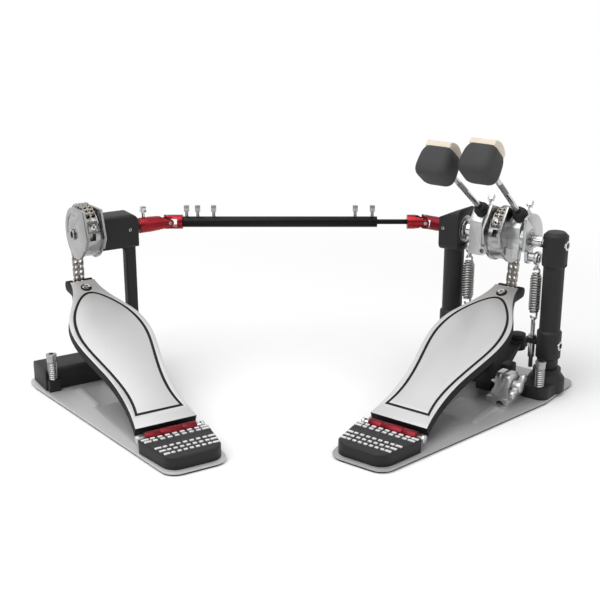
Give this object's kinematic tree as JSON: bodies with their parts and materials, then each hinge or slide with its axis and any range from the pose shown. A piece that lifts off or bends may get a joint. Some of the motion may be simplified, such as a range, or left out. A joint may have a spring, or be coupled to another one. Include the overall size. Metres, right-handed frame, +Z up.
{
  "type": "double bass drum pedal",
  "caption": "Twin bass drum pedal: a main pedal with two sprung beaters and a slave pedal, joined by a universal-jointed drive shaft.",
  "frame": {"origin": "on the floor under the middle of the main pedal axle", "axes": "+X along the drive shaft from the slave pedal to the main pedal, +Y towards the drum, +Z up"},
  "size_m": [0.6434, 0.3376, 0.3055],
  "materials": {
    "black_coat": "black powder coat",
    "plate_steel": "satin zinc",
    "mat_rubber": "ribbed",
    "heel_black": "black with bright bars",
    "red_anodised": "red anodised",
    "board_metal": "brushed top, black sides",
    "bright_cast": "satin",
    "chrome_steel": "polished",
    "bearing_steel": "ground",
    "chain_steel": "nickel",
    "spring_steel": "bright",
    "head_rubber": "matt",
    "felt": "wool felt",
    "cap_black": "matt",
    "pad_rubber": "matt"
  },
  "bodies": {
    "frame": {"main_base_plate": "plate_steel", "slave_base_plate": "plate_steel", "floor_mats": "mat_rubber", "heel_plates": "heel_black", "heel_hinges": "red_anodised", "main_foot": "black_coat", "main_left_post": "black_coat", "main_right_post": "black_coat", "slave_post": "black_coat", "main_axle": "chrome_steel", "shaft_bearings": "bearing_steel", "spring_bolts": "chrome_steel", "spur_screws": "chrome_steel", "clamp_bracket": "bright_cast"},
    "main_board": {"main_footboard": "board_metal", "main_board_hinge": "red_anodised"},
    "slave_board": {"slave_footboard": "board_metal", "slave_board_hinge": "red_anodised"},
    "main_rotor": {"main_cam": "bright_cast", "rotor_bearing": "bearing_steel", "main_beater_hub": "bright_cast", "main_rocker_arm": "bright_cast", "main_hub_cap": "cap_black", "main_beater_rod": "chrome_steel", "main_beater_head": "head_rubber", "main_beater_felt": "felt", "main_chain_wrap": "chain_steel"},
    "left_rotor": {"left_shaft": "chrome_steel", "left_beater_hub": "bright_cast", "left_hub_cap": "cap_black", "left_beater_rod": "chrome_steel", "left_beater_head": "head_rubber", "left_beater_felt": "felt", "main_yoke": "red_anodised"},
    "slave_rotor": {"slave_cam": "bright_cast", "slave_shaft": "chrome_steel", "slave_yoke": "red_anodised", "slave_chain_wrap": "chain_steel"},
    "drive": {"drive_yokes": "red_anodised", "drive_tube": "black_coat", "drive_rod": "chrome_steel", "key_screws": "chrome_steel"},
    "slave_cross": {"slave_cross": "bearing_steel"},
    "drive_cross": {"drive_cross": "bearing_steel"},
    "clamp_lever": {"clamp_lever": "black_coat", "clamp_pad": "pad_rubber"},
    "wing_bolt": {"clamp_wing_bolt": "bright_cast"},
    "main_link_3": {"main_chain_link_3": "chain_steel"},
    "main_link_2": {"main_chain_link_2": "chain_steel"},
    "main_link_1": {"main_chain_link_1": "chain_steel"},
    "main_run": {"main_chain_run": "chain_steel"},
    "main_rocker": {"main_spring_rocker": "bright_cast"},
    "main_spring_end": {"main_spring": "spring_steel"},
    "slave_link_3": {"slave_chain_link_3": "chain_steel"},
    "slave_link_2": {"slave_chain_link_2": "chain_steel"},
    "slave_link_1": {"slave_chain_link_1": "chain_steel"},
    "slave_run": {"slave_chain_run": "chain_steel"},
    "left_rocker": {"left_spring_rocker": "bright_cast"},
    "left_spring_end": {"left_spring": "spring_steel"}
  },
  "joints": [
    {"name": "main_beater", "type": "hinge", "parent": "frame", "child": "main_rotor", "pos_m": [0, 0, 0.179], "axis": [-0.7944, 0.6074, 0], "range_deg": [0, 52], "stiffness_Nm_per_rad": 2.2, "springref_deg": -34.38},
    {"name": "main_footboard", "type": "hinge", "parent": "frame", "child": "main_board", "pos_m": [-0.13813, -0.18067, 0.0155], "axis": [-0.7944, 0.6074, 0], "range_deg": [0, 7.25]},
    {"name": "main_link_3", "type": "hinge", "parent": "main_rotor", "child": "main_link_3", "pos_m": [0.01685, 0.02204, 0.19869], "axis": [-0.7944, 0.6074, 0], "range_deg": [-18.54, 0]},
    {"name": "main_link_2", "type": "hinge", "parent": "main_link_3", "child": "main_link_2", "pos_m": [0.01906, 0.02492, 0.19348], "axis": [-0.7944, 0.6074, 0], "range_deg": [-11.89, 0]},
    {"name": "main_link_1", "type": "hinge", "parent": "main_link_2", "child": "main_link_1", "pos_m": [0.02057, 0.02691, 0.18764], "axis": [-0.7944, 0.6074, 0], "range_deg": [-11.89, 0]},
    {"name": "main_run", "type": "hinge", "parent": "main_link_1", "child": "main_run", "pos_m": [0.02135, 0.02792, 0.18142], "axis": [-0.7944, 0.6074, 0], "range_deg": [-19.59, 0]},
    {"name": "main_rocker", "type": "hinge", "parent": "main_rotor", "child": "main_rocker", "pos_m": [0.03456, -0.02642, 0.159], "axis": [-0.7944, 0.6074, 0], "range_deg": [-64.26, 0]},
    {"name": "main_spring", "type": "slide", "parent": "main_rocker", "child": "main_spring_end", "axis": [0, 0, -1], "range_m": [0, 0.0094], "deforming": ["main_spring"]},
    {"name": "slave_rotor", "type": "hinge", "parent": "frame", "child": "slave_rotor", "pos_m": [-0.48832, 0.00933, 0.179], "axis": [-0.8572, -0.515, 0], "range_deg": [0, 41.07], "stiffness_Nm_per_rad": 3, "springref_deg": -34.38},
    {"name": "slave_footboard", "type": "hinge", "parent": "frame", "child": "slave_board", "pos_m": [-0.37118, -0.18562, 0.0155], "axis": [-0.8572, -0.515, 0], "range_deg": [0, 4.54]},
    {"name": "slave_link_3", "type": "hinge", "parent": "slave_rotor", "child": "slave_link_3", "pos_m": [-0.4973, 0.02428, 0.20311], "axis": [-0.8572, -0.515, 0], "range_deg": [-3.45, 0]},
    {"name": "slave_link_2", "type": "hinge", "parent": "slave_link_3", "child": "slave_link_2", "pos_m": [-0.49933, 0.02766, 0.19814], "axis": [-0.8572, -0.515, 0], "range_deg": [-11.89, 0]},
    {"name": "slave_link_1", "type": "hinge", "parent": "slave_link_2", "child": "slave_link_1", "pos_m": [-0.5008, 0.03011, 0.19246], "axis": [-0.8572, -0.515, 0], "range_deg": [-11.89, 0]},
    {"name": "slave_run", "type": "hinge", "parent": "slave_link_1", "child": "slave_run", "pos_m": [-0.50165, 0.03152, 0.18633], "axis": [-0.8572, -0.515, 0], "range_deg": [-17.2, 0]},
    {"name": "slave_cross", "type": "hinge", "parent": "slave_rotor", "child": "slave_cross", "pos_m": [-0.39608, 0.06475, 0.179], "axis": [-0.515, 0.8572, 0], "range_deg": [0, 21.98]},
    {"name": "drive_shaft", "type": "hinge", "parent": "frame", "child": "drive", "pos_m": [-0.39608, 0.06475, 0.179], "axis": [-1, 0, 0], "range_deg": [0, 46.4]},
    {"name": "drive_cross", "type": "hinge", "parent": "drive", "child": "drive_cross", "pos_m": [-0.08468, 0.06475, 0.179], "axis": [0, 1, 0], "range_deg": [0, 29.18]},
    {"name": "left_beater", "type": "hinge", "parent": "frame", "child": "left_rotor", "pos_m": [0, 0, 0.179], "axis": [-0.7944, 0.6074, 0], "range_deg": [0, 53.05]},
    {"name": "left_rocker", "type": "hinge", "parent": "left_rotor", "child": "left_rocker", "pos_m": [-0.03456, 0.02642, 0.159], "axis": [-0.7944, 0.6074, 0], "range_deg": [-64.26, 0]},
    {"name": "left_spring", "type": "slide", "parent": "left_rocker", "child": "left_spring_end", "axis": [0, 0, -1], "range_m": [0, 0.0094], "deforming": ["left_spring"]},
    {"name": "wing_bolt", "type": "hinge", "parent": "frame", "child": "wing_bolt", "pos_m": [-0.03705, -0.04846, 0.025], "axis": [0.7944, -0.6074, 0], "range_deg": [-90, 90]},
    {"name": "clamp_lever", "type": "hinge", "parent": "frame", "child": "clamp_lever", "pos_m": [-0.01579, -0.02065, 0.024], "axis": [-0.7944, 0.6074, 0], "range_deg": [-4.1, 4.1]}
  ],
  "couplings": [
    {"joint": "main_footboard", "follows": "main_beater", "ratio": 0.13646},
    {"joint": "main_link_3", "follows": "main_beater", "ratio": -0.34927},
    {"joint": "main_link_2", "follows": "main_beater", "ratio": -0.22392},
    {"joint": "main_link_1", "follows": "main_beater", "ratio": -0.22392},
    {"joint": "main_run", "follows": "main_beater", "ratio": -0.36914},
    {"joint": "main_rocker", "follows": "main_beater", "ratio": -1.2114},
    {"joint": "main_spring", "follows": "main_beater", "m_per_rad": 0.010141},
    {"joint": "slave_footboard", "follows": "slave_rotor", "ratio": 0.10801},
    {"joint": "slave_link_3", "follows": "slave_rotor", "ratio": -0.082219},
    {"joint": "slave_link_2", "follows": "slave_rotor", "ratio": -0.28348},
    {"joint": "slave_link_1", "follows": "slave_rotor", "ratio": -0.28348},
    {"joint": "slave_run", "follows": "slave_rotor", "ratio": -0.41032},
    {"joint": "slave_cross", "follows": "slave_rotor", "ratio": 0.5245},
    {"joint": "drive_shaft", "follows": "slave_rotor", "ratio": 1.1072},
    {"joint": "drive_cross", "follows": "slave_rotor", "ratio": 0.69618},
    {"joint": "left_beater", "follows": "slave_rotor", "ratio": 1.266},
    {"joint": "left_rocker", "follows": "slave_rotor", "ratio": -1.5336},
    {"joint": "left_spring", "follows": "slave_rotor", "m_per_rad": 0.012838},
    {"joint": "clamp_lever", "follows": "wing_bolt", "ratio": 0.044444}
  ]
}
